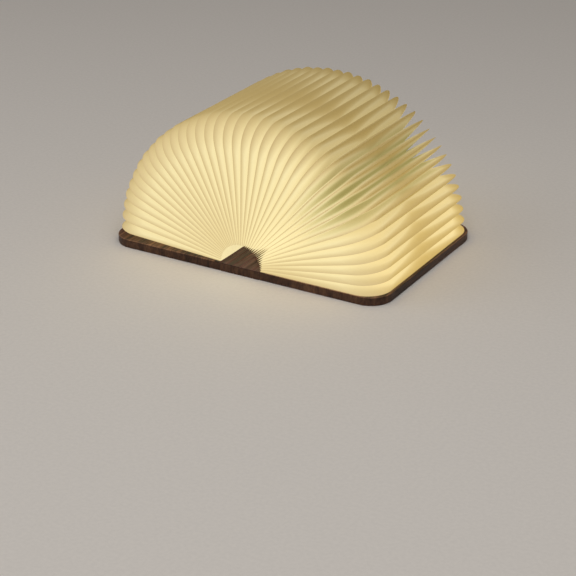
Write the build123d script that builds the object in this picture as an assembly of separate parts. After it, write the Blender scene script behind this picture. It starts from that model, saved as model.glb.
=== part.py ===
from build123d import *
import os
from math import cos, radians, sin

# A folding book lamp, standing open by 180 degrees. Sizes are in mm.
# X runs across the open covers, Y along the spine, Z up from the table. The origin is the
# middle of the open lamp's footprint, on the table.

# ---- covers ----
cover_w = 78.0  # spine edge to fore edge
cover_h = 122.0  # along the spine
cover_t = 5.1
corner_r = 13.8  # the two fore-edge corners of a cover
edge_ease = 0.4  # chamfer around a cover's outer face
inner_ease = 0.25  # chamfer on the inner face's three free edges, outside the pages

# ---- spine: slats joined along their inner faces by a flexible lining ----
slat_n = 6
slat_pitch = 4.3  # from one fold line to the next
saw_gap = 0.1  # left between neighbouring slats, and beside the covers
slat_ease = 0.3  # chamfer on a slat's outer long edges
lining_t = 0.3
lining_lap = 4.0  # how far the lining runs on under the pages, onto each cover

# ---- pages: two-ply leaves of the pleated bellows ----
page_n = 40
ply_t = 0.12
first_angle = 0.0  # the first page is glued down on the right-hand cover
last_angle = 177.0
page_inset = 0.4  # how far the pages stop short of the covers' edges
root_inset = 0.3  # how far the pages' inner edges stand off the covers' spine edges

# ---- light bar on a slat of the spine ----
led_slat = 3  # counted from the right-hand cover
led_board_w, led_board_l, led_board_t = 3.0, 84.0, 0.4
led_n = 8
led_pitch = 10.0
led_w, led_l, led_h = 2.8, 3.5, 0.7
bar_w, bar_l, bar_h = 4.0, 88.0, 2.4
bar_wall = 0.45

# ---- battery, charging board and socket inside the right-hand cover ----
cell_w, cell_l, cell_t = 34.0, 50.0, 3.0
cell_x, cell_y = 47.0, -5.0
board_w, board_l, board_t = 18.0, 16.0, 0.8
lid_t = 0.6
lid_seat = 2.0  # ledge that the lid rests on, around the pockets
channel_w = 6.0  # for the leads between the cell and the board
usb_w, usb_h, usb_l = 8.94, 3.26, 7.3
usb_shell = 0.3
usb_tongue_w, usb_tongue_h, usb_tongue_l = 6.7, 0.7, 4.5
usb_depth = 0.3  # the mouth stands this far inside the cover's edge
chip_sizes = ((4.0, 4.0, 0.9), (4.0, 4.0, 1.2), (3.0, 2.0, 0.8))  # charger, coil, lid switch
chip_gap = 1.0  # between the chips, and from the board's edge
plug_w, plug_l = 5.0, 5.0  # the ribbon's connector on the board
plug_edge = 0.6  # from the board's inner edge to the connector

# ---- ribbon from the board to the light bar ----
ribbon_w, ribbon_t = 4.0, 0.2
ribbon_drop_l = 3.0  # length over which it dips under the lid

# ---- magnets near the fore-edge corners ----
magnet_r, magnet_t = 3.0, 2.0
magnet_edge_x = 9.0  # from the fore edge to a magnet's middle
magnet_edge_y = 13.0  # from the cover's end to a magnet's middle

# ---- clearances ----
seat_gap = 0.15  # beside a piece that drops into a pocket
cover_gap = 0.3  # over the cell, under the lid
flush_gap = 0.1  # from a magnet or the ribbon to the cover's inner face

# ---- derived places ----
spine_w = slat_n * slat_pitch
spine_edge = spine_w / 2  # X of the right-hand cover's spine edge
fore_edge = spine_edge + cover_w
inner_z = cover_t  # the covers' inner faces, where the spine folds
slat_top = inner_z - lining_t
page_t = 2 * ply_t
root_r = spine_edge + root_inset
page_r = fore_edge - page_inset
page_half_h = cover_h / 2 - page_inset
led_x = spine_edge - (led_slat - 0.5) * slat_pitch
lid_z = inner_z - lid_t
cell_z = lid_z - cover_gap - cell_t
usb_z = cover_t / 2
board_z = usb_z - board_t / 2
board_top = board_z + board_t
usb_back = cover_h / 2 - usb_depth - usb_l
board_y = usb_back - board_l / 2
pocket_end = board_y - board_l / 2 - seat_gap
cell_end = cell_y + cell_l / 2 + seat_gap
ribbon_low = lid_z - flush_gap - ribbon_t  # underside of the ribbon, below the lid
plug_x = cell_x - board_w / 2 + plug_w / 2
ribbon_y = board_y - board_l / 2 + plug_edge + plug_l / 2
drop_x = spine_edge + lining_lap + seat_gap


def block(x, y, z):
    """A box from three (low, high) pairs."""
    size = [high - low for low, high in (x, y, z)]
    middle = [(high + low) / 2 for low, high in (x, y, z)]
    return Pos(*middle) * Box(*size)


def about(middle, size, extra=0.0):
    """The (low, high) pair of a width around its middle, with extra on both sides."""
    return middle - size / 2 - extra, middle + size / 2 + extra


def rounded(plate, radius):
    """A flat plate with the two upright corners on its +X side rounded."""
    return fillet(plate.edges().filter_by(Axis.Z).group_by(Axis.X)[-1], radius)


def plain_cover():
    """The right-hand cover with all that both covers share."""
    plate = block((spine_edge, fore_edge), about(0, cover_h), (0, cover_t))
    plate = rounded(plate, corner_r)
    plate = chamfer(plate.faces().sort_by(Axis.Z)[0].edges(), edge_ease)
    rim = plate.faces().sort_by(Axis.Z)[-1].edges().sort_by(Axis.X)
    plate = chamfer(rim[1:], inner_ease)  # all but the spine edge
    rebate = block(
        (spine_edge - saw_gap, spine_edge + lining_lap + seat_gap),
        about(0, cover_h, seat_gap),
        (slat_top, inner_z),
    )
    plate -= rebate
    for x, y in magnet_places():
        depth = magnet_t + flush_gap
        plate -= Pos(x, y, inner_z - depth / 2) * Cylinder(magnet_r + seat_gap, depth)
    return plate


def magnet_places():
    x, y = fore_edge - magnet_edge_x, cover_h / 2 - magnet_edge_y
    return (x, -y), (x, y)


def right_cover():
    """The cover that holds the battery, the charging board and the socket."""
    cover = plain_cover()
    cover -= block(
        about(cell_x, cell_w, seat_gap), about(cell_y, cell_l, seat_gap), (cell_z, inner_z)
    )
    board_room = (pocket_end, usb_back + seat_gap)
    cover -= block(about(cell_x, board_w, seat_gap), board_room, (board_z, inner_z))
    cover -= block(about(cell_x, channel_w), (cell_end, pocket_end), (board_z, inner_z))
    for x, y in lid_outline(seat_gap):
        cover -= block(x, y, (lid_z, inner_z))
    cover -= block(
        about(cell_x, usb_w, seat_gap),
        (usb_back, cover_h / 2),
        about(usb_z, usb_h, seat_gap),
    )
    cover -= block(
        (spine_edge + lining_lap, cell_x - board_w / 2),
        about(ribbon_y, ribbon_w, seat_gap),
        (ribbon_low, inner_z),
    )
    return cover


def left_cover():
    return mirror(plain_cover(), Plane.YZ)


def lid_outline(extra=0.0):
    """The two rectangles that make up the lid's T shape."""
    ledge = seat_gap + lid_seat + extra
    over_cell = about(cell_x, cell_w, ledge), about(cell_y, cell_l, ledge)
    over_board = (
        about(cell_x, board_w, ledge),
        (cell_end - ledge, usb_back + ledge),
    )
    return over_cell, over_board


def battery_lid():
    (x1, y1), (x2, y2) = lid_outline()
    return block(x1, y1, (lid_z, inner_z)) + block(x2, y2, (lid_z, inner_z))


def spine_slat(place):
    """A slat of the spine, counted from the right-hand cover."""
    x = spine_edge - (place - 0.5) * slat_pitch
    slat = block(about(x, slat_pitch, -saw_gap / 2), about(0, cover_h), (0, slat_top))
    outer = slat.faces().sort_by(Axis.Z)[0].edges().filter_by(Axis.Y)
    return chamfer(outer, slat_ease)


def spine_lining():
    """The flexible lining, open around the light bar's board and over the ribbon."""
    sheet = block(
        about(0, spine_w, lining_lap), about(0, cover_h), (slat_top, inner_z)
    )
    sheet -= block(
        about(led_x, led_board_w, seat_gap),
        about(0, led_board_l, seat_gap),
        (slat_top, inner_z),
    )
    sheet -= block(
        (led_x, spine_edge + lining_lap),
        about(ribbon_y, ribbon_w, seat_gap),
        (slat_top, inner_z),
    )
    return sheet


def page_angle(place):
    return first_angle + (last_angle - first_angle) * (place - 1) / (page_n - 1)


def page(place):
    """One two-ply leaf, at its angle around the spine; the first lies on its cover."""
    leaf = block((root_r, page_r), about(0, 2 * page_half_h), about(0, page_t))
    leaf = rounded(leaf, corner_r - page_inset)
    lift = page_t / 2 if place == 1 else 0
    return Pos(0, 0, inner_z + lift) * Rot(0, -page_angle(place), 0) * leaf


def led_board():
    return block(
        about(led_x, led_board_w), about(0, led_board_l), (slat_top, slat_top + led_board_t)
    )


def led_chips():
    base = slat_top + led_board_t
    chip = block(about(led_x, led_w), about(0, led_l), (base, base + led_h))
    first = -led_pitch * (led_n - 1) / 2
    return Compound([Pos(0, first + led_pitch * k, 0) * chip for k in range(led_n)])


def led_diffuser():
    """A channel turned over the light bar's board, closed at both ends."""
    bar = block(about(led_x, bar_w), about(0, bar_l), (inner_z, inner_z + bar_h))
    bar = fillet(bar.faces().sort_by(Axis.Z)[-1].edges().filter_by(Axis.Y), bar_wall)
    return bar - block(
        about(led_x, bar_w, -bar_wall),
        about(0, bar_l, -bar_wall),
        (inner_z, inner_z + bar_h - bar_wall),
    )


def led_ribbon():
    """A flat ribbon along the slats, dipping under the lid to its connector."""
    low = slat_top
    points = [
        (led_x + led_board_w / 2, low),
        (drop_x, low),
        (drop_x + ribbon_drop_l, ribbon_low),
        (plug_x + plug_w / 2, ribbon_low),
    ]
    upper = [(x, z + ribbon_t) for x, z in reversed(points)]
    outline = Plane.XZ * make_face(Polyline(*points, *upper, close=True))
    return Pos(0, ribbon_y + ribbon_w / 2, 0) * extrude(outline, amount=ribbon_w)


def battery_cell():
    cell = block(about(cell_x, cell_w), about(cell_y, cell_l), (cell_z, cell_z + cell_t))
    return fillet(cell.edges().filter_by(Axis.Y), cell_t / 5)


def charging_board():
    return block(about(cell_x, board_w), about(board_y, board_l), (board_z, board_top))


def board_parts():
    """The charger, its coil, the opening switch and the ribbon's connector."""
    parts = [
        block(
            about(plug_x, plug_w),
            about(ribbon_y, plug_l),
            (board_top, ribbon_low),
        )
    ]
    right = cell_x + board_w / 2 - chip_gap
    y = board_y + board_l / 2 - chip_gap
    for width, length, height in chip_sizes:
        parts.append(
            block((right - width, right), (y - length, y), (board_top, board_top + height))
        )
        y -= length + chip_gap
    return Compound(parts)


def usb_socket():
    """A reversible charging socket: a rounded shell, shut at the back, and its tongue."""
    mouth = usb_back + usb_l
    along = Plane(origin=(cell_x, usb_back, usb_z), x_dir=(1, 0, 0), z_dir=(0, 1, 0))
    shell = extrude(along * SlotOverall(usb_w, usb_h), amount=usb_l)
    hollow = SlotOverall(usb_w - 2 * usb_shell, usb_h - 2 * usb_shell)
    shell -= extrude(along.offset(usb_l - usb_tongue_l) * hollow, amount=usb_tongue_l)
    tongue = block(
        about(cell_x, usb_tongue_w),
        (mouth - usb_tongue_l, mouth - usb_depth),
        about(usb_z, usb_tongue_h),
    )
    return shell + tongue


def magnets_right():
    z = inner_z - flush_gap - magnet_t / 2
    return Compound([Pos(x, y, z) * Cylinder(magnet_r, magnet_t) for x, y in magnet_places()])


def magnets_left():
    return mirror(magnets_right(), Plane.YZ)


nodes = {
    "right_cover": right_cover(),
    "left_cover": left_cover(),
    "spine_lining": spine_lining(),
    "led_board": led_board(),
    "led_chips": led_chips(),
    "led_diffuser": led_diffuser(),
    "led_ribbon": led_ribbon(),
    "battery_cell": battery_cell(),
    "battery_lid": battery_lid(),
    "charging_board": charging_board(),
    "board_parts": board_parts(),
    "usb_socket": usb_socket(),
    "magnets_right": magnets_right(),
    "magnets_left": magnets_left(),
}
for place in range(1, slat_n + 1):
    nodes[f"spine_slat_{place}"] = spine_slat(place)
for place in range(1, page_n + 1):
    nodes[f"page_{place:02d}"] = page(place)

os.makedirs("parts", exist_ok=True)
for name, solid in nodes.items():
    export_step(solid, f"parts/{name}.step")
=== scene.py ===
import math
import random

import bmesh
import bpy
from bpy.props import FloatProperty, FloatVectorProperty, IntProperty, PointerProperty
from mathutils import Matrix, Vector


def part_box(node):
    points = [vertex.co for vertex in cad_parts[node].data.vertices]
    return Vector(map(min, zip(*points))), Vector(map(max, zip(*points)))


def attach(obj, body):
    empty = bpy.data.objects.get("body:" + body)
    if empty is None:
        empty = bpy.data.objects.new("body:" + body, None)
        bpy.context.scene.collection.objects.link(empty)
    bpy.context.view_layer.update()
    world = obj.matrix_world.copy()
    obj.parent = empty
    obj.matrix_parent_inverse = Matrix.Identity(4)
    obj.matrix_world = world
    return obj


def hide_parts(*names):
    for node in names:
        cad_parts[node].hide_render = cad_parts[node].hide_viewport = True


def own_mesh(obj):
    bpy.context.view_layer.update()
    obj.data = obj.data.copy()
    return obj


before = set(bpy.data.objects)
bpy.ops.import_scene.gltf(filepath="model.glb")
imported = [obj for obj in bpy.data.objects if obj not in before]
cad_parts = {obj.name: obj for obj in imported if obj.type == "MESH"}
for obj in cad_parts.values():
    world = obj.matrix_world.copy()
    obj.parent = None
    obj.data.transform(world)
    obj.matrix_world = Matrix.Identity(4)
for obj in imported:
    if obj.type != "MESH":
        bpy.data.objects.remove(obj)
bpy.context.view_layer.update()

bl_info = {
    "name": "Folding book lamp",
    "version": (1, 0, 0),
    "blender": (4, 5, 0),
    "location": "3D View > Sidebar > Book Lamp",
    "description": "Dresses the packed model of a folding book lamp and sets up its studio",
    "category": "Object",
}

MM = 0.001
PX = 576  # the picture is square, and this many pixels wide
SLATS = 6
PAGES = sum(name.startswith("page_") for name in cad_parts)
FIRST_ANGLE, LAST_ANGLE = 0.0, 177.0  # degrees
FOLD_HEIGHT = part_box("right_cover")[1].z  # the inner faces of the covers and of the spine
SPINE_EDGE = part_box("right_cover")[0].x
SLAT_PITCH = 2 * SPINE_EDGE / SLATS
TUNNEL_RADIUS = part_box("page_01")[0].x
FOLDS = [SPINE_EDGE - SLAT_PITCH * k for k in range(SLATS + 1)]  # the X of the fold lines
SLIT = 0.002 * MM  # between a fold line and each strip beside it
NEAR = 0.01 * MM  # places closer than this are the same fold or crease
WELD = 0.001 * MM  # points closer than this become one


def linear(hex_colour):
    """An sRGB hex colour as linear red, green and blue."""
    parts = [int(hex_colour[k : k + 2], 16) / 255 for k in (1, 3, 5)]
    return [c / 12.92 if c <= 0.04045 else ((c + 0.055) / 1.055) ** 2.4 for c in parts]


def colour(value):
    """Linear red, green and blue, made opaque."""
    return (*value, 1.0)


def colour_property(name, description, hex_colour):
    return FloatVectorProperty(
        name=name, description=description, subtype="COLOR", size=3, min=0, max=1,
        default=linear(hex_colour),
    )


def length_property(name, description, millimetres):
    return FloatProperty(
        name=name, description=description, default=millimetres * MM, min=0, unit="LENGTH",
        precision=5,
    )


def angle_property(name, description, degrees):
    return FloatProperty(
        name=name, description=description, default=math.radians(degrees), subtype="ANGLE"
    )


def number_property(name, description, value, low=0, high=10):
    return FloatProperty(name=name, description=description, default=value, min=low, max=high)


def fill(node, inputs):
    """Links a node's inputs, or gives them their values, by number or name."""
    for key, value in inputs.items() if isinstance(inputs, dict) else enumerate(inputs):
        if isinstance(value, bpy.types.NodeSocket):
            node.id_data.links.new(value, node.inputs[key])
        else:
            node.inputs[key].default_value = value


def add(tree, kind, inputs=(), stops=(), **settings):
    """Adds a node with its settings and inputs; stops are a ramp's (place, colour) pairs."""
    node = tree.nodes.new(kind)
    for name, value in settings.items():
        setattr(node, name, value)
    fill(node, inputs)
    for _ in stops[2:]:
        node.color_ramp.elements.new(0.5)
    for number, (place, value) in enumerate(stops):
        node.color_ramp.elements[number].position = place
        node.color_ramp.elements[number].color = colour(value)
    return node


SIGNS = {"+": "ADD", "-": "SUBTRACT", "*": "MULTIPLY", "/": "DIVIDE", "*+": "MULTIPLY_ADD"}


def calculate(tree, steps, values):
    """Adds a Math node for each step (name, operation, terms); a term is a number or a name.

    A step whose name ends in an exclamation mark is clamped to between 0 and 1.
    """
    for name, operation, *terms in steps:
        inputs = [values[t] if isinstance(t, str) else t for t in terms]
        settings = {"operation": SIGNS.get(operation, operation), "use_clamp": name.endswith("!")}
        values[name.rstrip("!")] = add(tree, "ShaderNodeMath", inputs, **settings).outputs[0]
    return values


def share_steps(name, value, start, length):
    """The steps to how far a value has come over a length from a start, as a share."""
    return (name, "-", value, start), (f"{name}!", "/", name, length)


def new_material(name):
    """A material with a Principled shader: (material, tree, shader)."""
    material = bpy.data.materials.new(name)
    material.use_nodes = True
    tree = material.node_tree
    return material, tree, tree.nodes["Principled BSDF"]


def object_place(tree, scale=(1, 1, 1), place=(0, 0, 0)):
    """Object coordinates, moved and scaled by a Mapping node."""
    coordinates = add(tree, "ShaderNodeTexCoord")
    mapping = add(
        tree, "ShaderNodeMapping",
        {"Vector": coordinates.outputs["Object"], "Location": place, "Scale": scale},
    )
    return mapping.outputs[0]


def paint(node_name, material):
    """Gives a CAD node's object a material in all its slots."""
    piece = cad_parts[node_name]
    if not piece.material_slots:
        piece.data.materials.append(material)
    for slot in piece.material_slots:
        slot.material = material


def finish_piece(mesh, name, body, material=None, replaced=()):
    """Makes an object of a finished mesh, rides it on its body and hides the parts it stands for."""
    piece = bpy.data.objects.new(name, mesh)
    bpy.context.scene.collection.objects.link(piece)
    if material:
        mesh.materials.append(material)
    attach(piece, body)
    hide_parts(*replaced)
    return piece


def close_shell(mesh, sharp_degrees):
    """Merges doubles, turns the faces outwards and keeps the hard edges hard."""
    shell = bmesh.new()
    shell.from_mesh(mesh)
    bmesh.ops.remove_doubles(shell, verts=shell.verts, dist=WELD)
    bmesh.ops.dissolve_degenerate(shell, edges=shell.edges, dist=WELD / 10)
    bmesh.ops.recalc_face_normals(shell, faces=shell.faces)
    shell.to_mesh(mesh)
    shell.free()
    mesh.shade_smooth()
    mesh.set_sharp_from_angle(angle=math.radians(sharp_degrees))
    return mesh


# ---- settings ----


class BookLampPaper(bpy.types.PropertyGroup):
    """The bellows' sizes and the colours of its paper, lit from inside."""

    reach_level: length_property("Level reach", "From the spine to a level page's edge", 89.2)
    reach_upright: length_property("Upright reach", "The same for an upright page", 87.0)
    reach_back: length_property("Back reach", "What pages past upright reach further", 0.6)
    reach_play: length_property("Reach play", "How much the pages differ in size", 0.2)
    half_length: length_property("Half length", "Half a page's length along the spine", 60.9)
    middle: length_property("Middle", "How far the pages' middle lies beyond the spine's", 0.3)
    lift: length_property("Lift", "How far the first page lies above the cover", 0.03)
    lean: angle_property("Lean", "How far the upright pages lean to the right", 1.8)
    lean_start: angle_property("Lean start", "Page angle up to which none leans", 27)
    lean_full: angle_property("Full lean", "Page angle from which they lean fully", 50)
    lean_end: angle_property("Lean end", "Page angle from which they lean less again", 95)
    corner: length_property("Corner radius", "Radius of a page's outer corners", 15.3)
    valley_corner: length_property("Valley radius", "Radius of the valleys' corners", 32.0)
    fold_depth: length_property("Fold depth", "From crest to valley on the fore edge", 9.0)
    end_depth: length_property("End depth", "From crest to valley at the pages' ends", 11.0)
    crest_power: number_property(
        "Crest power", "Fore edge: 1 makes a pocket a sharp wedge, 2 an ellipse", 1.25, 1, 3
    )
    power_play: number_property("Power play", "How much the pages differ in it", 0.06, 0, 0.2)
    end_power: number_property("End power", "The same at the pages' ends", 1.1, 1, 3)
    corner_power: number_property(
        "Corner power", "The same at the corners of the pages that are spread most", 0.7, 0.5, 3
    )
    level_power: number_property(
        "Level corner power", "The same for pages that lie level or stand upright", 1.35, 0.5, 3
    )
    spread_angle: angle_property("Spread angle", "Page angle at which the pages spread most", 24)
    spread_width: angle_property("Spread width", "Page angle from there to the level corners", 36)
    comb: number_property("Comb", "Share of its room that a page's inner end fills", 0.5, 0.1, 1)
    comb_length: length_property("Comb length", "How far the thin inner ends reach", 7.0)

    front_length: number_property(
        "Front length", "Page spacings to where an upright page's end is fully lit", 1.4, 0.1
    )
    level_length: number_property("Level length", "The same for a level page's end", 2.8, 0.1)
    fore_length: number_property("Fore-edge length", "The same for any fore edge", 1.25, 0.1)
    front_power: number_property(
        "Front power", "Below 1, the light rises fast from the crest inwards", 0.75, 0.1
    )
    fore_power: number_property(
        "Fore-edge power", "Above 1, the light rises slowly from the crest inwards", 1.4, 0.1
    )
    fore_from: length_property("Fore edge from", "From the ends to where light changes", 3)
    fore_run: length_property("Fore edge over", "Length of the change at the front end", 21)
    rear_run: length_property("Rear edge over", "Length of the change at the rear end", 7)
    outer_from: length_property("Outer from", "From the spine to where light changes", 30)
    outer_run: length_property("Outer over", "Length of the change away from the spine", 25)
    front_crest: colour_property("Front crest", "Lit paper at a front crest", "#B19864")
    front_deep: colour_property("Front deep", "Lit paper beside a front valley", "#DCCFA1")
    fore_crest: colour_property("Fore-edge crest", "Lit paper at a fore-edge crest", "#B9994A")
    fore_deep: colour_property("Fore-edge deep", "Lit paper beside a fore-edge valley", "#E4CF95")
    upright: angle_property("Upright", "Page angle from which a page is lit as an upright one", 50)
    upper_share: number_property(
        "Upper share", "Light on upright pages' fore edges, beside the level ones'", 0.62, 0, 1
    )
    far_share: number_property(
        "Far share", "Light at their far ends, beside that at their front ends", 0.74, 0, 1
    )
    dip_angle: angle_property("Dip angle", "Page angle at which the folds are dimmest", 40)
    dip_width: angle_property("Dip width", "Page angle from there to where they aren't dim", 16)
    dip_from: length_property("Dip from", "From the spine to where folds start to dim", 42)
    dip_run: length_property("Dip over", "Length over which they dim", 30)
    dip_start: number_property("Dip start", "Share of a fold's depth where it starts to dim", 0.2)
    dip_rate: number_property("Dip rate", "How fast it dims from there inwards", 2.2)
    valley: colour_property("Valley", "What is left of the light at a fold's bottom", "#B9BFA5")
    # the paper is white, but this colour is a dark olive grey: painted shade, so outside light adds
    # little to its glow
    base: colour_property("Paper", "The paper itself, by outside light", "#928B74")
    glow: number_property("Glow", "Strength of the light through the paper", 1)
    fibre: length_property("Fibre", "Length of the fibre bundles in the paper", 2.381)
    fibre_height: length_property("Fibre height", "How far they stand out", 0.08)


class BookLampWood(bpy.types.PropertyGroup):
    """The walnut's colours and figure, and the spine's lining."""

    dark: colour_property("Dark", "Late wood and streaks", "#2C1B12")
    middle: colour_property("Middle", "Main tone", "#5B3D2D")
    pale: colour_property("Pale", "Wood between the streaks", "#76533C")
    # its paleness on the eased edges is partly wear and partly a painted highlight
    light: colour_property("Light", "Palest early wood and rubbed edges", "#A67A58")
    figure_width: length_property("Figure width", "Width of a plank's figure", 30)
    ring_width: length_property("Ring width", "From one dark line to the next", 3.4)
    streak_width: length_property("Streak width", "Width of the fine streaks", 1.1)
    pore_width: length_property("Pore width", "Drawn coarse enough to show", 0.35)
    pore_depth: length_property("Pore depth", "Depth of a pore", 0.12)
    lining_tint: FloatVectorProperty(
        name="Lining tint", default=(0.33, 0.23, 0.47), size=3, min=0, max=1,
        description="How much of the wood's red, green and blue the spine's lining has",
    )
    lining_gap: length_property("Lining gap", "Left around the light bar and the ribbon", 0.15)
    crease: length_property("Crease", "Half the width of a crease on each side of a fold", 0.2)
    crease_depth: length_property("Crease depth", "Depth of a crease beside a fold", 0.15)


class BookLampParts(bpy.types.PropertyGroup):
    """The light bar, the ribbon and the charging socket."""

    packages: IntProperty(name="Packages", default=8, min=1, description="LEDs on the light bar")
    package_share: number_property(
        "Package share", "A package's length, as a share of the room it has", 0.35, 0.1, 1
    )
    led_glow: number_property("LED glow", "Strength of the LEDs", 3)
    channel: colour_property("Channel", "The light bar's frosted cover", "#8F8676")
    channel_lit: colour_property("Channel, lit", "Its light over the LEDs", "#F2DCA8")
    channel_dim: colour_property("Channel, dim", "Its light past the last LED", "#3A2C1C")
    channel_glow: number_property("Channel glow", "Strength of its light", 0.9)
    channel_grain: length_property("Channel grain", "Size of its fine clouds", 0.6667)
    fade_from: length_property("Fade from", "From the last LED's end back to the fade", 4)
    fade_run: length_property("Fade over", "Length over which the light fades", 8)
    tracks: IntProperty(name="Tracks", default=4, min=1, description="Copper tracks in the ribbon")
    film: length_property("Film", "Thickness of the ribbon", 0.17)
    track_height: length_property("Track height", "How far a track stands out", 0.03)
    bow_length: length_property("Bow length", "How far from a fold the ribbon bows up", 0.8)
    dip_gap: length_property("Dip gap", "From the lining to where the ribbon dips", 0.15)
    dip_length: length_property("Dip length", "Length over which the ribbon dips", 3)
    socket_rim: length_property("Socket rim", "Thickness of the socket's shell", 0.35)


class BookLampStage(bpy.types.PropertyGroup):
    """The floor, the lights and the camera."""

    focal_px: number_property("Focal length", "In pixels of the picture", 1781.86, 100, 10000)
    azimuth: angle_property("Azimuth", "Angle of the camera around the lamp", 30.3685)
    elevation: angle_property("Elevation", "Angle of the camera above the table", 25.0345)
    distance: length_property("Distance", "From the camera to its target", 1003.2)
    target: FloatVectorProperty(
        name="Target", default=(32.45 * MM, -61.72 * MM, 0), subtype="TRANSLATION", unit="LENGTH",
        description="The point that the camera looks at",
    )
    floor: colour_property("Floor", "The pale floor", "#E6E0D9")
    key: number_property("Key light", "Power of the large soft light, in watts", 5.5)
    fill: number_property("Fill light", "Power of the fill light, in watts", 2.2)
    sky: number_property("Surroundings", "Strength of the even light around", 0.22)


# ---- the pleated bellows ----

# A pocket is a grid. Its columns run along the page's edge: out along the front end, round a
# corner, along the fore edge and back. Its rows run from one valley over the crest to the
# other, and on inwards to the middle, which closes the pocket with a web.
END, CORNER, FORE = 34, 14, 30  # columns along an end, round a corner, along the fore edge
COLUMNS = 2 * END + 2 * CORNER + FORE
RIB_ROWS, WEB_ROWS = 12, 2  # from the crest to a valley, and from there inwards
HALF_ROWS = RIB_ROWS + WEB_ROWS

POCKET_INPUTS = (
    "Angle", "Upper Spacing", "Lower Spacing", "Reach", "Half Length", "Middle",
    "Corner Radius", "Valley Radius", "Tunnel Radius", "Fold Depth", "End Depth", "Crest Power",
    "End Power", "Corner Power", "Comb", "Comb Length", "Fold Height",
)


def outline_steps(name, reach, half, radius):
    """The steps to a point on an outline of a page: straight ends, round corners, fore edge."""
    x, y = f"{name} x", f"{name} y"
    return (
        (x, "-", reach, radius), (x, "-", x, "Tunnel Radius"),
        (x, "*+", x, "legs", "Tunnel Radius"), (x, "*+", radius, "bend x", x),
        (y, "-", half, radius), (y, "*", y, "along fore"), (y, "*", y, 2),
        (y, "-", y, half), (y, "*+", radius, "bend y", y),
    )


# the steps that place each point of the grid
POCKET_STEPS = (
    # along the edge; the first and the last column lie in the page's middle plane, as ends
    ("column", "+", "grid x", 0.5), ("column", "*", "column", COLUMNS + 2),
    ("other way", "-", COLUMNS + 2, "column"), ("nearest", "MINIMUM", "column", "other way"),
    ("open", "GREATER_THAN", "nearest", 0.5), ("column", "-", "column", 1),
    ("leg 1!", "/", "column", END),
    *share_steps("turn 1", "column", END, CORNER),
    ("turn 1", "*", "turn 1", math.pi / 2),
    *share_steps("along fore", "column", END + CORNER, FORE),
    *share_steps("turn 2", "column", END + CORNER + FORE, CORNER),
    ("turn 2", "*", "turn 2", math.pi / 2),
    *share_steps("leg 2", "column", COLUMNS - END, END),
    ("legs", "-", "leg 1", "leg 2"), ("turn", "+", "turn 1", "turn 2"),
    ("sin 1", "SINE", "turn 1"), ("cos 1", "COSINE", "turn 1"),
    ("sin 2", "SINE", "turn 2"), ("cos 2", "COSINE", "turn 2"),
    ("bend x", "+", "sin 1", "cos 2"), ("bend x", "-", "bend x", 1),
    ("bend y", "-", "sin 2", "cos 1"), ("bend y", "+", "bend y", 1),
    # the crests' outline and the valleys', which lies further in and is rounder
    *outline_steps("crest", "Reach", "Half Length", "Corner Radius"),
    ("valley reach", "-", "Reach", "Fold Depth"),
    ("valley half", "-", "Half Length", "End Depth"),
    *outline_steps("valley", "valley reach", "valley half", "Valley Radius"),
    ("in x", "-", "valley x", "crest x"), ("in y", "-", "valley y", "crest y"),
    ("depth", "*", "in x", "in x"), ("depth", "*+", "in y", "in y", "depth"),
    ("depth", "SQRT", "depth"),
    # across the crest, as a superellipse
    ("row", "ABSOLUTE", "grid y"), ("row", "*", "row", 2 * HALF_ROWS),
    ("rib", "/", "row", RIB_ROWS), ("rib", "MINIMUM", "rib", 1),
    ("web", "-", "row", RIB_ROWS), ("web", "MAXIMUM", "web", 0),
    ("web", "/", "web", WEB_ROWS),
    ("at end", "COSINE", "turn"), ("at end", "*", "at end", "at end"),
    ("power", "-", "End Power", "Crest Power"),
    ("power", "*+", "power", "at end", "Crest Power"),
    ("at corner", "*", "turn", 2), ("at corner", "SINE", "at corner"),
    ("at corner", "*", "at corner", "at corner"),
    ("change", "-", "Corner Power", "power"),
    ("power", "*+", "change", "at corner", "power"),
    ("swing", "*", "rib", math.pi / 2), ("power", "/", 2, "power"),
    ("cos s", "COSINE", "swing"), ("cos s", "MAXIMUM", "cos s", 0),
    ("cos s", "POWER", "cos s", "power"),
    ("wide", "SINE", "swing"), ("wide", "POWER", "wide", "power"),
    ("share", "-", 1, "cos s"), ("inward", "*", "share", "depth"),
    ("x", "*+", "in x", "share", "crest x"),
    ("y", "*+", "in y", "share", "crest y"),
    # the web, drawn in towards the page's middle
    ("shrink", "*+", "web", -0.5, 1), ("x", "-", "x", "Tunnel Radius"),
    ("x", "*+", "x", "shrink", "Tunnel Radius"),
    ("stay", "-", 1, "web"), ("y", "*+", "y", "stay", "Middle"),
    # half the thickness, thin beside the tunnel
    ("full", "-", "x", "Tunnel Radius"), ("full", "/", "full", "Comb Length"),
    ("full", "MINIMUM", "full", 1), ("rest", "-", 1, "Comb"),
    ("fill", "*+", "rest", "full", "Comb"),
    ("flank", "SIGN", "grid y"), ("upper", "MAXIMUM", "flank", 0), ("lower", "MINIMUM", "flank", 0),
    ("rise", "TANGENT", "Upper Spacing"), ("fall", "TANGENT", "Lower Spacing"),
    ("z", "*", "rise", "upper"), ("z", "*+", "fall", "lower", "z"),
    ("z", "*", "z", "x"), ("z", "*", "z", "fill"), ("z", "*", "z", "wide"),
    ("z", "*", "z", "open"),
    # turned to the page's angle
    ("sine", "SINE", "Angle"), ("cosine", "COSINE", "Angle"),
    ("turned x", "*", "x", "cosine"), ("back", "*", "z", "sine"),
    ("turned x", "-", "turned x", "back"),
    ("turned z", "*", "z", "cosine"), ("turned z", "+", "turned z", "Fold Height"),
    ("turned z", "*+", "x", "sine", "turned z"),
    # how deep the point lies, in page spacings and as a share of the fold's depth
    ("spacing", "*", "rise", "x"), ("spacing", "*", "spacing", 2),
    ("lit", "/", "inward", "spacing"), ("deep", "*", "share", "stay"),
)


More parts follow.
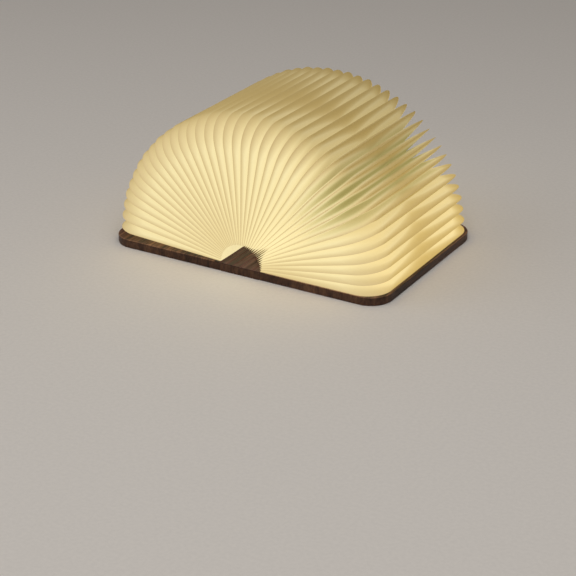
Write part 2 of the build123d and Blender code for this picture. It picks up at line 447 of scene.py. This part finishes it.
def pocket_tree(material):
    """The Geometry Nodes tree of one pocket of the bellows: a page with its rounded crest."""
    tree = bpy.data.node_groups.new("Page pocket", "GeometryNodeTree")
    for name in POCKET_INPUTS:
        tree.interface.new_socket(name, in_out="INPUT", socket_type="NodeSocketFloat")
    tree.interface.new_socket("Geometry", in_out="OUTPUT", socket_type="NodeSocketGeometry")
    given = add(tree, "NodeGroupInput")
    grid = add(
        tree, "GeometryNodeMeshGrid",
        {"Vertices X": COLUMNS + 3, "Vertices Y": 2 * HALF_ROWS + 1, "Size X": 1, "Size Y": 1},
    )
    place = add(tree, "ShaderNodeSeparateXYZ", [add(tree, "GeometryNodeInputPosition").outputs[0]])
    values = {name: given.outputs[name] for name in POCKET_INPUTS}
    values["grid x"], values["grid y"] = place.outputs[0], place.outputs[1]
    values = calculate(tree, POCKET_STEPS, values)
    mesh = grid.outputs["Mesh"]
    for name in ("lit", "deep"):
        mesh = add(
            tree, "GeometryNodeStoreNamedAttribute",
            {"Geometry": mesh, "Name": name, "Value": values[name]},
            data_type="FLOAT", domain="POINT",
        ).outputs[0]
    point = add(tree, "ShaderNodeCombineXYZ", [values["turned x"], values["y"], values["turned z"]])
    moved = add(tree, "GeometryNodeSetPosition", {"Geometry": mesh, "Position": point.outputs[0]})
    merged = add(tree, "GeometryNodeMergeByDistance", {"Geometry": moved.outputs[0], "Distance": WELD})
    real = add(tree, "GeometryNodeRealizeInstances", [merged.outputs[0]])
    painted = add(tree, "GeometryNodeSetMaterial", {"Geometry": real.outputs[0], "Material": material})
    add(tree, "NodeGroupOutput", [painted.outputs[0]])
    return tree


def evaluated_mesh(tree, values, name):
    """Runs a Geometry Nodes tree with named input values and returns the plain mesh."""
    carrier = bpy.data.objects.new(name, bpy.data.meshes.new(name))
    bpy.context.scene.collection.objects.link(carrier)
    modifier = carrier.modifiers.new("build", "NODES")
    modifier.node_group = tree
    for item in tree.interface.items_tree:
        if item.in_out == "INPUT":
            modifier[item.identifier] = values[item.name]
    graph = bpy.context.evaluated_depsgraph_get()
    mesh = bpy.data.meshes.new_from_object(carrier.evaluated_get(graph))
    carrier.modifiers.remove(modifier)
    bpy.data.objects.remove(carrier)
    mesh.name = name
    return mesh


def lit_paper(paper):
    # Spun-bonded polyethylene paper, white and lit from inside. Light comes through best
    # beside the valleys and least at the crests; long random fibres make it cloudy.
    material, tree, shader = new_material("spun_bonded_paper")
    lit = add(tree, "ShaderNodeAttribute", attribute_name="lit").outputs["Fac"]
    deep = add(tree, "ShaderNodeAttribute", attribute_name="deep").outputs["Fac"]
    where = add(
        tree, "ShaderNodeSeparateXYZ", [add(tree, "ShaderNodeTexCoord").outputs["Object"]]
    ).outputs
    values = calculate(
        tree,
        (
            # how much of the light's colour is that of the fore edge
            ("out", "+", "y", paper.half_length),
            *share_steps("out", "out", paper.fore_from, paper.fore_run),
            ("behind", "-", paper.half_length, "y"),
            ("behind!", "/", "behind", paper.rear_run), ("out", "MINIMUM", "out", "behind"),
            ("up", "-", "z", FOLD_HEIGHT), ("away", "*", "up", "up"),
            ("away", "*+", "x", "x", "away"), ("away", "SQRT", "away"),
            *share_steps("outer", "away", paper.outer_from, paper.outer_run),
            ("out", "MINIMUM", "out", "outer"),
            ("smooth", "*+", "out", -2, 3), ("smooth", "*", "smooth", "out"),
            ("to fore", "*", "smooth", "out"),
            # how far the light has risen from the crest inwards
            ("page", "ARCTAN2", "up", "x"), ("upright!", "/", "page", paper.upright),
            ("reach", "*", "upright", paper.front_length - paper.level_length),
            ("reach", "+", "reach", paper.level_length),
            ("front", "/", "lit", "reach"), ("front", "POWER", "front", paper.front_power),
            ("fore", "/", "lit", paper.fore_length),
            ("fore", "POWER", "fore", paper.fore_power),
            # less light on the upright pages' fore edges
            ("shade", "*", "upright", "to fore"),
            ("dim", "*+", "shade", paper.upper_share - 1, 1),
            # and on their far ends
            ("far", "/", "y", 2 * paper.half_length), ("far!", "+", "far", 0.5),
            ("far", "*", "far", "shade"),
            ("far", "*+", "far", paper.far_share - 1, 1),
            ("dim", "*", "dim", "far"),
            # less light at the bottoms of the folds on both sides of one page angle
            ("bottom", "-", "deep", paper.dip_start),
            ("bottom!", "*", "bottom", paper.dip_rate),
            ("dip", "-", "page", paper.dip_angle), ("dip", "/", "dip", paper.dip_width),
            ("dip", "*", "dip", "dip"), ("dip!", "-", 1, "dip"),
            *share_steps("beyond", "away", paper.dip_from, paper.dip_run),
            ("dip", "*", "dip", "beyond"), ("bottom", "*", "bottom", "dip"),
        ),
        {"lit": lit, "deep": deep, "x": where[0], "y": where[1], "z": where[2]},
    )
    front, fore, bottom = (
        add(tree, "ShaderNodeValToRGB", [values[name]], stops).outputs["Color"]
        for name, stops in (
            ("front", ((0, paper.front_crest), (1, paper.front_deep))),
            ("fore", ((0, paper.fore_crest), (1, paper.fore_deep))),
            ("bottom", ((0, (1, 1, 1)), (1, paper.valley))),
        )
    )
    glow = add(tree, "ShaderNodeMix", data_type="RGBA")
    mixed = [socket for socket in glow.inputs if socket.enabled]  # factor, A and B
    for socket, value in zip(mixed, (values["to fore"], front, fore)):
        tree.links.new(value, socket)
    fibres = add(
        tree, "ShaderNodeTexNoise",
        {"Vector": object_place(tree), "Scale": 1 / paper.fibre, "Detail": 5.0, "Roughness": 0.7,
         "Distortion": 1.2},
    ).outputs[0]
    cloudy = add(
        tree, "ShaderNodeMapRange", {"Value": fibres, "To Min": 0.93, "To Max": 1.05}
    ).outputs[0]
    seen = [socket for socket in glow.outputs if socket.enabled][0]
    for share in (values["dim"], bottom, cloudy):
        seen = add(tree, "ShaderNodeVectorMath", [seen, share], operation="MULTIPLY").outputs[0]
    relief = {"Strength": 0.25, "Distance": paper.fibre_height, "Height": fibres}
    finish = {
        # the paper's darkened colour is painted shade
        "Base Color": colour(paper.base), "Emission Color": seen, "Emission Strength": paper.glow,
        "Roughness": 0.75, "Specular IOR Level": 0.25,
        "Normal": add(tree, "ShaderNodeBump", relief).outputs[0],
    }
    fill(shader, finish)
    return material


def leaning(paper, angle):
    """The angle of a page whose leaf in the solids has the given one: the fan isn't even."""
    start = (angle - paper.lean_start) / (paper.lean_full - paper.lean_start)
    start = min(max(start, 0), 1)
    end = max((angle - paper.lean_end) / (math.radians(LAST_ANGLE) - paper.lean_end), 0)
    return angle - paper.lean * start * start * (3 - 2 * start) * math.sqrt(1 - end)


class LAMP_OT_pages(bpy.types.Operator):
    """Makes the pages of the bellows, one closed paper pocket on each page's body"""

    bl_idname = "book_lamp.pages"
    bl_label = "Make Pages"

    def execute(self, context):
        paper = context.scene.book_lamp_paper
        material = lit_paper(paper)
        tree = pocket_tree(material)
        draw = random.Random(40)  # the seed
        step = math.radians(LAST_ANGLE - FIRST_ANGLE) / (PAGES - 1)
        leaves = [math.radians(FIRST_ANGLE) + step * place for place in range(PAGES)]
        angles = [leaning(paper, angle) for angle in leaves]
        for place, (leaf, angle) in enumerate(zip(leaves, angles)):
            first, last = place == 0, place == PAGES - 1
            level, up = paper.reach_level * math.cos(angle), paper.reach_upright * math.sin(angle)
            reach = math.hypot(level, up)
            # none up to 60 degrees, most at 120
            reach += paper.reach_back * max(-math.cos(angle * 1.5), 0)
            spread = max(1 - abs(angle - paper.spread_angle) / paper.spread_width, 0) ** 0.5
            values = {
                "Angle": angle,
                "Upper Spacing": step / 2 if last else (angles[place + 1] - angle) / 2,
                "Lower Spacing": 0.0 if first else (angle - angles[place - 1]) / 2,
                "Reach": reach + draw.uniform(-1, 1) * paper.reach_play,
                "Half Length": paper.half_length + draw.uniform(-1, 0) * paper.reach_play,
                "Middle": paper.middle,
                "Corner Radius": paper.corner,
                "Valley Radius": paper.valley_corner,
                "Tunnel Radius": TUNNEL_RADIUS,
                "Fold Depth": paper.fold_depth,
                "End Depth": paper.end_depth,
                "Crest Power": paper.crest_power + draw.uniform(-1, 1) * paper.power_play,
                "End Power": paper.end_power,
                "Corner Power": spread * paper.corner_power + (1 - spread) * paper.level_power,
                "Comb": paper.comb,
                "Comb Length": paper.comb_length,
                "Fold Height": FOLD_HEIGHT + (paper.lift if first else 0),
            }
            name = f"page_pocket_{place + 1:02d}"
            mesh = close_shell(evaluated_mesh(tree, values, name), 60)
            node = f"page_{place + 1:02d}"
            body = "right_cover" if first else node
            piece = finish_piece(mesh, name, body, replaced=[node])
            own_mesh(piece)
        return {"FINISHED"}


# ---- wood ----


# the walnut's patterns: how much finer each is along X, Y and Z, its width and its noise
FIGURE_SCALE = 1, 0.05, 0.3  # the grain runs along Y
PORE_SCALE = 1, 0.09, 1
RINGS = 9  # level lines over the whole range of the figure
# what each pattern adds to the tone, and what brings their sum to the colours' range
FIGURE_TONE, RING_TONE, STREAK_TONE, TONE_START = 0.9, 0.06, 1.1, -1.05
# the last of these darkens the sides, partly as end grain and partly as painted shade
SIDE_TONE, SIDE_CONTRAST, SIDE_END_GRAIN_AND_SHADE = 0.45, 0.5, 0.75  # of the sides, beside the broad faces
# the eased edges' paler band is partly wear and partly a painted highlight
EASED, EASED_FALL, WEAR_AND_HIGHLIGHT_TONE = 0.72, -4, 0.3  # upward part of an eased edge's normal
PORE_LEVEL, PORE_EDGE, PORE_SHADE = 0.60, 12, -0.35  # only the noise above the level is pores


def walnut(wood, name, offset=(0, 0, 0), tint=(1, 1, 1)):
    # American black walnut, sawn along the grain, sanded and oiled: dark streaks and
    # cathedral lines that run along the spine, short open pores, sides darkened partly as end grain
    # and partly as painted shade, eased edges made pale partly as wear and partly as a painted
    # highlight, and a low satin sheen.
    material, tree, shader = new_material(name)
    place = object_place(tree, FIGURE_SCALE, offset)
    pore_place = object_place(tree, PORE_SCALE, offset)
    values = {}
    for key, vector, width, detail, roughness, distortion in (
        ("figure", place, wood.figure_width, 2.5, 0.45, 0.3),
        ("streaks", place, wood.ring_width, 4, 0.6, 0),
        ("fine", place, wood.streak_width, 3, 0.6, 0),
        ("pores", pore_place, wood.pore_width * 2, 2, 0.5, 0),
    ):
        values[key] = add(
            tree, "ShaderNodeTexNoise",
            {"Vector": vector, "Scale": 1 / width, "Detail": detail, "Roughness": roughness,
             "Distortion": distortion},
        ).outputs[0]
    normal = add(tree, "ShaderNodeTexCoord").outputs["Normal"]
    values["facing"] = add(tree, "ShaderNodeSeparateXYZ", [normal]).outputs[2]
    values = calculate(
        tree,
        (
            ("rings", "*", "figure", 2 * math.pi * RINGS), ("rings", "SINE", "rings"),
            ("tone", "*+", "figure", FIGURE_TONE, TONE_START),
            ("tone", "*+", "rings", RING_TONE, "tone"),
            ("tone", "*+", "streaks", STREAK_TONE, "tone"),
            ("tone", "*+", "fine", STREAK_TONE, "tone"),
            # the sides are darker, their ends as end grain is and all of them as painted shade, and
            # their figure is weaker
            ("top", "ABSOLUTE", "facing"),
            ("level", "*+", "top", 1 - SIDE_CONTRAST, SIDE_CONTRAST),
            ("tone", "-", "tone", SIDE_TONE),
            ("tone", "*+", "tone", "level", SIDE_TONE),
            ("shade", "*+", "top", 1 - SIDE_END_GRAIN_AND_SHADE, SIDE_END_GRAIN_AND_SHADE),
            # eased edges, between level and upright, are paler: partly worn pale, partly a painted
            # highlight
            ("rubbed", "-", "facing", EASED), ("rubbed", "ABSOLUTE", "rubbed"),
            ("rubbed!", "*+", "rubbed", EASED_FALL, 1),
            ("tone", "*+", "rubbed", WEAR_AND_HIGHLIGHT_TONE, "tone"),
            # pores are darker, and the sides' painted shade joins them here
            ("pore", "-", "pores", PORE_LEVEL), ("pore!", "*", "pore", PORE_EDGE),
            ("dim", "*+", "pore", PORE_SHADE, 1), ("dim", "*", "dim", "shade"),
            # streaks and pores are rougher
            ("rough", "*+", "streaks", 0.16, 0.38),
            ("rough", "*+", "pore", 0.15, "rough"),
            ("height", "*", "streaks", 0.5), ("height", "-", "height", "pore"),
        ),
        values,
    )
    stops = (0.25, wood.dark), (0.48, wood.middle), (0.62, wood.pale), (0.9, wood.light)
    seen = add(tree, "ShaderNodeValToRGB", [values["tone"]], stops).outputs["Color"]
    for share in (values["dim"], tuple(tint)):
        seen = add(tree, "ShaderNodeVectorMath", [seen, share], operation="MULTIPLY").outputs[0]
    relief = {"Strength": 0.35, "Distance": wood.pore_depth, "Height": values["height"]}
    finish = {
        "Base Color": seen, "Roughness": values["rough"], "Specular IOR Level": 0.25,
        "Normal": add(tree, "ShaderNodeBump", relief).outputs[0],
    }
    fill(shader, finish)
    return material


class LAMP_OT_wood(bpy.types.Operator):
    """Gives the covers and the spine's slats their oiled walnut"""

    bl_idname = "book_lamp.wood"
    bl_label = "Finish Wood"

    def execute(self, context):
        wood = context.scene.book_lamp_wood
        for node, offset in (("right_cover", (0.31, 0.2, 0)), ("left_cover", (0.9, 0.5, 0.1))):
            paint(node, walnut(wood, f"oiled_walnut_{node}", offset))
        slats = walnut(wood, "oiled_walnut_slats", (0.55, 0.1, 0))
        for place in range(1, SLATS + 1):
            paint(f"spine_slat_{place}", slats)
        return {"FINISHED"}


# ---- the spine's lining and the ribbon ----


def sheet(name, xs, ys, is_solid, heights):
    """A closed thin sheet over a grid, without the cells that aren't solid.

    heights(x, y) gives the underside and the top at a corner of the grid.
    """
    shell = bmesh.new()
    corners = {}

    def corner(i, j, level):
        if (i, j, level) not in corners:
            place = xs[i], ys[j], heights(xs[i], ys[j])[level]
            corners[i, j, level] = shell.verts.new(place)
        return corners[i, j, level]

    cells = {
        (i, j)
        for i in range(len(xs) - 1)
        for j in range(len(ys) - 1)
        if is_solid((xs[i] + xs[i + 1]) / 2, (ys[j] + ys[j + 1]) / 2)
    }
    for i, j in cells:
        around = (i, j), (i + 1, j), (i + 1, j + 1), (i, j + 1)
        shell.faces.new([corner(*c, 1) for c in around])
        shell.faces.new([corner(*c, 0) for c in reversed(around)])
        for side, (di, dj) in enumerate(((0, -1), (1, 0), (0, 1), (-1, 0))):
            if (i + di, j + dj) not in cells:
                a, b = around[side], around[(side + 1) % 4]
                shell.faces.new([corner(*a, 0), corner(*b, 0), corner(*b, 1), corner(*a, 1)])
    mesh = bpy.data.meshes.new(name)
    shell.to_mesh(mesh)
    shell.free()
    return close_shell(mesh, 25)


def spine_bodies():
    """The bodies across the spine, from right to left, each with its low and high X.

    They end a hair short of the fold lines, so strips on two bodies don't touch.
    """
    low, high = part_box("spine_lining")
    edges = [high.x, *FOLDS, low.x]
    names = ["right_cover", *(f"slat_{k}" for k in range(1, SLATS + 1)), "left_cover"]
    return [(name, x0 + SLIT, x1 - SLIT) for name, x0, x1 in zip(names, edges[1:], edges)]


class LAMP_OT_lining(bpy.types.Operator):
    """Makes the spine's lining, creased along the fold lines, one strip on each body"""

    bl_idname = "book_lamp.lining"
    bl_label = "Make Spine Lining"

    def execute(self, context):
        wood = context.scene.book_lamp_wood
        material = walnut(wood, "stained_walnut_veneer", (0.7, 0.3, 0), wood.lining_tint)
        low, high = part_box("spine_lining")
        board_low, board_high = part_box("led_board")
        ribbon_low, ribbon_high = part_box("led_ribbon")
        board_middle = (board_low.x + board_high.x) / 2
        gap = wood.lining_gap
        holes = (
            (board_low.x - gap, board_high.x + gap, board_low.y - gap, board_high.y + gap),
            (board_middle, high.x, ribbon_low.y - gap, ribbon_high.y + gap),
        )

        def is_solid(x, y):
            return not any(x0 < x < x1 and y0 < y < y1 for x0, x1, y0, y1 in holes)

        rows = sorted({low.y, high.y, *(y for hole in holes for y in hole[2:])})
        for body, x0, x1 in spine_bodies():
            folds = [x for x in (x0, x1) if abs(x) < SPINE_EDGE + NEAR]
            creased = [x + side * wood.crease for x in folds for side in (-2, -1, 1, 2)]
            columns = {x0, x1, *creased, *(x for hole in holes for x in hole[:2])}
            columns = sorted(x for x in columns if x0 <= x <= x1)

            def heights(x, y):
                in_crease = any(abs(abs(x - fold) - wood.crease) < NEAR for fold in folds)
                return low.z, high.z - (wood.crease_depth if in_crease else 0)

            name = f"lining_{body}"
            mesh = sheet(name, columns, rows, is_solid, heights)
            finish_piece(mesh, name, body, material, ["spine_lining"])
        return {"FINISHED"}


TRACK_SLOPE = 0.2  # share of a band on each side of its edge over which a track rises


class LAMP_OT_ribbon(bpy.types.Operator):
    """Makes the flat ribbon that feeds the light bar, one strip on each body it crosses"""

    bl_idname = "book_lamp.ribbon"
    bl_label = "Make Ribbon"

    def execute(self, context):
        parts = context.scene.book_lamp_parts
        low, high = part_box("led_ribbon")
        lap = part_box("spine_lining")[1].x
        material = ribbon_film(parts, low.y, high.y)
        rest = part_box("spine_lining")[0].z  # it lies on the slats
        start = lap + parts.dip_gap
        end = start + parts.dip_length
        bow = FOLD_HEIGHT - rest - parts.film - parts.track_height
        bows = [fold + side * parts.bow_length for fold in FOLDS for side in (-1, 1)]
        # every second band across the ribbon is a track, with sloping sides
        bands = parts.tracks * 2 + 1
        pitch = (high.y - low.y) / bands
        edges = [low.y + pitch * k for k in range(1, bands)]
        rows = sorted(y + side * pitch * TRACK_SLOPE for y in edges for side in (-1, 1))

        def heights(x, y):
            base = rest + (low.z - rest) * min(max((x - start) / (end - start), 0), 1)
            base += bow * any(abs(x - fold) < NEAR for fold in FOLDS)
            on_track = int((y - low.y) / pitch) % 2 == 1
            return base, base + parts.film + (parts.track_height if on_track else 0)

        for body, x0, x1 in spine_bodies():
            x1 = high.x if body == "right_cover" else x1
            x0 = max(x0, low.x)
            if x0 >= x1:
                continue
            columns = [x0, *sorted(x for x in (start, end, *bows) if x0 < x < x1), x1]
            name = f"ribbon_{body}"
            mesh = sheet(name, columns, [low.y, *rows, high.y], lambda x, y: True, heights)
            finish_piece(mesh, name, body, material, ["led_ribbon"])
        return {"FINISHED"}


# ---- light bar and electronics ----


def ribbon_film(parts, low, high):
    # Amber polyimide film over thin copper tracks that run along it.
    material, tree, shader = new_material("polyimide_film")
    y = add(tree, "ShaderNodeSeparateXYZ", [object_place(tree)]).outputs[1]
    values = calculate(
        tree,
        (
            ("band", "-", "y", low), ("band", "*", "band", parts.tracks * 2 + 1),
            ("band", "/", "band", high - low), ("band", "PINGPONG", "band", 1),
        ),
        {"y": y},
    )
    stops = (0.35, linear("#A8641F")), (0.65, linear("#C98A45"))  # film, and film over copper
    seen = add(tree, "ShaderNodeValToRGB", [values["band"]], stops).outputs["Color"]
    fill(shader, {"Base Color": seen, "Roughness": 0.3})
    return material


def speckled(name, colours, grain, roughness, metallic=0.0, bump=0.2, scale=(1, 1, 1)):
    """A material whose colour (two hex codes or linear values) and height follow noise."""
    material, tree, shader = new_material(name)
    noise = add(
        tree, "ShaderNodeTexNoise",
        {"Vector": object_place(tree, scale), "Scale": 1 / grain, "Detail": 4.0},
    ).outputs[0]
    dark, pale = (linear(c) if isinstance(c, str) else c for c in colours)
    stops = (0.35, dark), (0.65, pale)  # most of the noise lies between
    relief = {"Strength": bump, "Distance": grain / 20, "Height": noise}
    finish = {
        "Base Color": add(tree, "ShaderNodeValToRGB", [noise], stops).outputs["Color"],
        "Normal": add(tree, "ShaderNodeBump", relief).outputs[0],
        "Roughness": roughness, "Metallic": metallic,
    }
    fill(shader, finish)
    return material, tree, shader


def glowing_packages(parts):
    # White ceramic packages with a yellow phosphor window in the middle of each.
    material, tree, shader = new_material("white_led_packages")
    low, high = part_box("led_chips")
    length = (high.y - low.y) / (parts.packages - 1 + parts.package_share)
    y = add(tree, "ShaderNodeSeparateXYZ", [object_place(tree)]).outputs[1]
    values = calculate(
        tree,
        (
            ("place", "/", "y", length), ("place", "+", "place", parts.packages / 2),
            ("place", "FRACT", "place"), ("place", "-", "place", 0.5),
            ("place", "ABSOLUTE", "place"),
        ),
        {"y": y},
    )
    # the window ends between these shares of the room that a package has
    stops = (0.10, linear("#E9B93C")), (0.14, linear("#EDEBE4"))
    window = add(tree, "ShaderNodeValToRGB", [values["place"]], stops).outputs["Color"]
    finish = {
        "Base Color": window, "Emission Color": window, "Emission Strength": parts.led_glow,
        "Roughness": 0.35,
    }
    fill(shader, finish)
    return material


def frosted_channel(parts):
    # Frosted polycarbonate: milky where the packages light it, dim at the ends past them.
    material, tree, shader = new_material("frosted_polycarbonate")
    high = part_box("led_chips")[1]
    place = object_place(tree)
    y = add(tree, "ShaderNodeSeparateXYZ", [place]).outputs[1]
    grain = {"Vector": place, "Scale": 1 / parts.channel_grain, "Detail": 2.0}
    grain = add(tree, "ShaderNodeTexNoise", grain).outputs[0]
    values = calculate(
        tree,
        (
            ("out", "ABSOLUTE", "y"), ("out", "-", "out", high.y - parts.fade_from),
            ("out", "/", "out", parts.fade_run), ("out", "*+", "grain", 0.1, "out"),
        ),
        {"y": y, "grain": grain},
    )
    stops = (0, parts.channel_lit), (1, parts.channel_dim)
    lit = add(tree, "ShaderNodeValToRGB", [values["out"]], stops)
    lit.color_ramp.interpolation = "EASE"
    finish = {
        "Base Color": colour(parts.channel), "Emission Color": lit.outputs["Color"],
        "Emission Strength": parts.channel_glow, "Roughness": 0.6,
        "Subsurface Weight": 0.2, "Subsurface Radius": (2 * MM, 2 * MM, 2 * MM),
    }
    fill(shader, finish)
    return material


def charging_socket(parts):
    # Drawn stainless shell; its mouth is black: the tongue's colour, and painted shade around it.
    material, tree, shader = speckled(
        "drawn_steel", ("#B9BBBE", "#D3D5D7"), 0.4 * MM, 0.28, 1.0, scale=(1, 0.05, 1)
    )
    low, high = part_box("usb_socket")
    middle, rim = (low + high) / 2, parts.socket_rim
    place = add(tree, "ShaderNodeSeparateXYZ", [object_place(tree)]).outputs
    values = calculate(
        tree,
        (
            ("x", "-", "x", middle.x), ("x", "ABSOLUTE", "x"),
            ("z", "-", "z", middle.z), ("z", "ABSOLUTE", "z"),
            ("in x", "LESS_THAN", "x", (high.x - low.x) / 2 - rim),
            ("in z", "LESS_THAN", "z", (high.z - low.z) / 2 - rim),
            ("in", "*", "in x", "in z"), ("metal", "-", 1, "in"),
        ),
        {"x": place[0], "z": place[2]},
    )
    steel = shader.inputs["Base Color"].links[0].from_socket
    # all inside the rim is black: the tongue's colour, and painted shade in the hollow around it
    black = tuple(linear("#151617"))
    seen = add(
        tree, "ShaderNodeVectorMath", [steel, values["metal"], black], operation="MULTIPLY_ADD"
    )
    fill(shader, {"Base Color": seen.outputs[0], "Metallic": values["metal"]})
    return material


class LAMP_OT_parts(bpy.types.Operator):
    """Finishes the light bar, the battery, the boards, the socket and the magnets"""

    bl_idname = "book_lamp.parts"
    bl_label = "Finish Electric Parts"

    def execute(self, context):
        parts = context.scene.book_lamp_parts
        # glass-fibre board under white solder mask
        board = speckled("white_solder_mask", ("#DAD7CB", "#EDEBE2"), 0.6 * MM, 0.35)[0]
        # aluminium laminate pouch with fine wrinkles
        pouch = speckled("pouch_foil", ("#A9ACAF", "#C9CCCE"), 3 * MM, 0.32, 0.85, bump=0.6)[0]
        # vulcanised fibre, dark and matt
        lid = speckled("vulcanised_fibre", ("#241E1A", "#352D27"), 0.5 * MM, 0.7)[0]
        # glass-fibre board under green solder mask
        green = speckled("green_solder_mask", ("#0F4A2B", "#1C6B40"), 1.2 * MM, 0.3)[0]
        # moulded epoxy
        epoxy = speckled("moulded_epoxy", ("#17181A", "#26272A"), 0.15 * MM, 0.5)[0]
        # nickel-plated neodymium
        nickel = speckled("nickel_plating", ("#B5B2AB", "#CBC8C1"), 0.8 * MM, 0.22, 1.0, bump=0.1)[0]
        finishes = {
            "led_board": board, "led_chips": glowing_packages(parts),
            "led_diffuser": frosted_channel(parts), "battery_cell": pouch, "battery_lid": lid,
            "charging_board": green, "board_parts": epoxy, "usb_socket": charging_socket(parts),
            "magnets_right": nickel, "magnets_left": nickel,
        }
        for node, material in finishes.items():
            paint(node, material)
        return {"FINISHED"}


# ---- stage ----


class LAMP_OT_stage(bpy.types.Operator):
    """Sets the pale floor, the soft studio light and the camera"""

    bl_idname = "book_lamp.stage"
    bl_label = "Set Stage"

    def execute(self, context):
        scene = context.scene
        stage = scene.book_lamp_stage
        half, down = 4.0, 0.05 * MM  # the floor's half width, and how far it clears the covers
        mesh = bpy.data.meshes.new("studio_floor")
        corners = [(x * half, y * half, -down) for x, y in ((-1, -1), (1, -1), (1, 1), (-1, 1))]
        mesh.from_pydata(corners, [], [(0, 1, 2, 3)])
        floor = bpy.data.objects.new("studio_floor", mesh)
        scene.collection.objects.link(floor)
        # matt paper backdrop, laid flat, with a faint tooth, drawn coarse enough to show
        dull, pale = ([channel * share for channel in stage.floor] for share in (0.98, 1.02))
        material, _, shader = speckled("backdrop_paper", (dull, pale), 2 * MM, 0.9, bump=0.05)
        fill(shader, {"Specular IOR Level": 0.2})
        mesh.materials.append(material)

        world = bpy.data.worlds.new("studio")
        world.use_nodes = True
        background = world.node_tree.nodes["Background"]
        fill(background, {"Color": colour(linear("#F4EFEA")), "Strength": stage.sky})
        scene.world = world
        scene.view_settings.view_transform = "Standard"

        middle = Vector((0, 0, 30 * MM))  # of the lamp, which both lights face
        for name, power, width, place in (
            ("key_light", stage.key, 0.9, (0.3, -0.45, 1.1)),
            ("fill_light", stage.fill, 0.8, (-0.9, -0.6, 0.8)),
        ):
            light = bpy.data.lights.new(name, "AREA")
            light.shape, light.size, light.energy = "SQUARE", width, power
            lamp = bpy.data.objects.new(name, light)
            lamp.location = place
            lamp.rotation_euler = (middle - lamp.location).to_track_quat("-Z", "Y").to_euler()
            scene.collection.objects.link(lamp)

        camera = bpy.data.cameras.new("camera")
        camera.sensor_fit, camera.sensor_width = "HORIZONTAL", 36.0
        camera.lens = stage.focal_px / PX * camera.sensor_width
        camera.clip_start, camera.clip_end = 0.01, 50
        level, up = math.cos(stage.elevation), math.sin(stage.elevation)
        towards = Vector((math.sin(stage.azimuth) * level, -math.cos(stage.azimuth) * level, up))
        view = bpy.data.objects.new("camera", camera)
        view.location = Vector(stage.target) + towards * stage.distance
        view.rotation_euler = (-towards).to_track_quat("-Z", "Y").to_euler()
        scene.collection.objects.link(view)
        scene.camera = view
        return {"FINISHED"}


class LAMP_PT_sidebar(bpy.types.Panel):
    """Lists the lamp's steps and its settings"""

    bl_idname = "LAMP_PT_sidebar"
    bl_label = "Book Lamp"
    bl_space_type = "VIEW_3D"
    bl_region_type = "UI"
    bl_category = "Book Lamp"

    def draw(self, context):
        for operator in OPERATORS:
            self.layout.operator(operator.bl_idname)
        for name, group in GROUPS.items():
            box = self.layout.box()
            for setting in group.__annotations__:
                box.prop(getattr(context.scene, name), setting)


OPERATORS = (
    LAMP_OT_pages, LAMP_OT_wood, LAMP_OT_lining, LAMP_OT_ribbon, LAMP_OT_parts, LAMP_OT_stage,
)
GROUPS = {
    "book_lamp_paper": BookLampPaper,
    "book_lamp_wood": BookLampWood,
    "book_lamp_parts": BookLampParts,
    "book_lamp_stage": BookLampStage,
}
CLASSES = (*GROUPS.values(), *OPERATORS, LAMP_PT_sidebar)


def register():
    for cls in CLASSES:
        bpy.utils.register_class(cls)
    for name, group in GROUPS.items():
        setattr(bpy.types.Scene, name, PointerProperty(type=group))


def unregister():
    for name in GROUPS:
        delattr(bpy.types.Scene, name)
    for cls in reversed(CLASSES):
        bpy.utils.unregister_class(cls)


def main():
    register()
    for operator in OPERATORS:
        area, name = operator.bl_idname.split(".")
        getattr(getattr(bpy.ops, area), name)()


if __name__ == "__main__":
    main()
